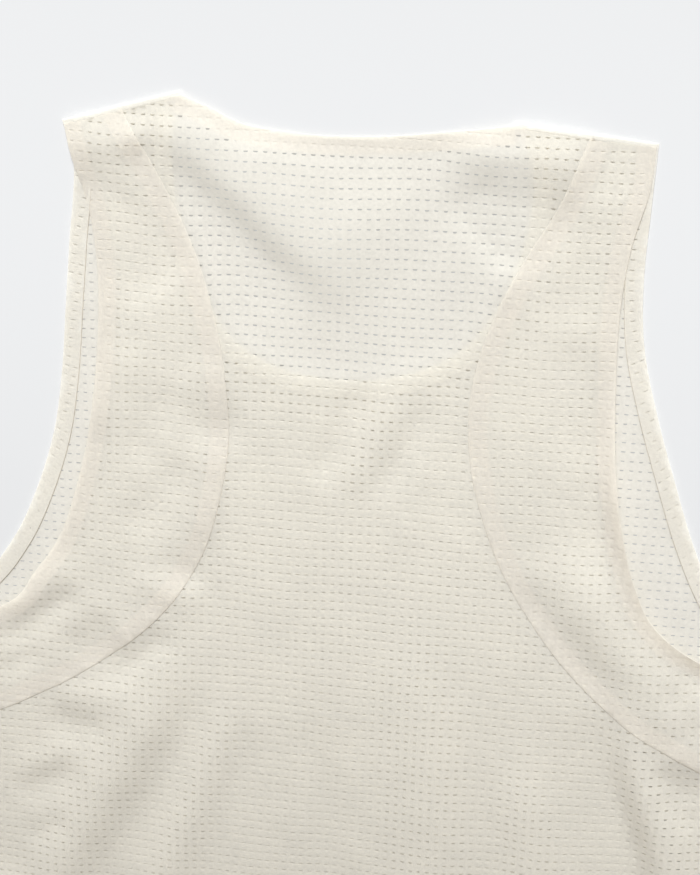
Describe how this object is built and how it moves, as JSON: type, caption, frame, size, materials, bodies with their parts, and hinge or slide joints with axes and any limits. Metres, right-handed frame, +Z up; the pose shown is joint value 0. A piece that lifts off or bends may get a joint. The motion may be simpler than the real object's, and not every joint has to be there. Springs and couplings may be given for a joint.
{
  "type": "running singlet",
  "caption": "Sleeveless perforated running singlet laid flat with its back up, racer-shaped back centre and crescent side panels.",
  "frame": {"origin": "Middle of the laid singlet's outline, on the surface that it lies on.", "axes": "+X to the right as seen from above with the neck away, +Y from the hem towards the neck, +Z up from the front panel to the back panels."},
  "size_m": [0.524, 0.692, 0.0062],
  "materials": {
    "front_cloth": "matt perforated knit",
    "back_cloth": "matt perforated knit",
    "side_cloth": "matt perforated knit"
  },
  "bodies": {
    "root": {"front": "front_cloth", "back_centre": "back_cloth", "back_side_left": "side_cloth", "back_side_right": "side_cloth"}
  },
  "joints": []
}
